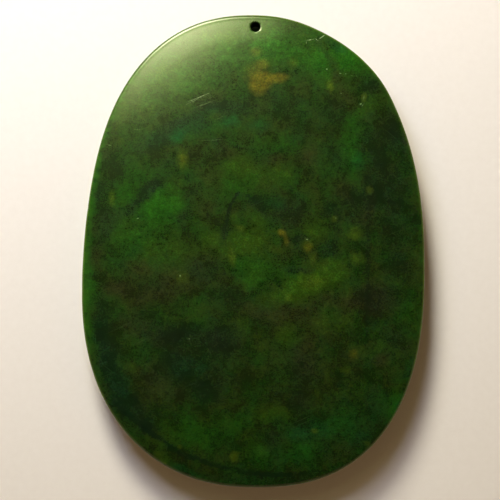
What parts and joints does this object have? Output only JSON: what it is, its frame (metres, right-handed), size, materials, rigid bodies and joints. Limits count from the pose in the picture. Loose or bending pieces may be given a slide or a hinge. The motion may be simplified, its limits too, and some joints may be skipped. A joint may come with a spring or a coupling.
{
  "type": "jade amulet plaque",
  "caption": "Oval plaque of polished dark green nephrite, narrower towards its bored end, with a crowned face and a flat back, worn on a cord.",
  "frame": {"origin": "on the flat underside, below the middle of the outline's bounding box", "axes": "+Y along the plaque towards the cord bore, +X across it to the right as seen from the face, +Z out of the polished face"},
  "size_m": [0.0507, 0.07, 0.006],
  "materials": {
    "jade": "polished"
  },
  "bodies": {
    "root": {"jade_plaque_body": "jade", "jade_plaque_head": "jade"}
  },
  "joints": []
}
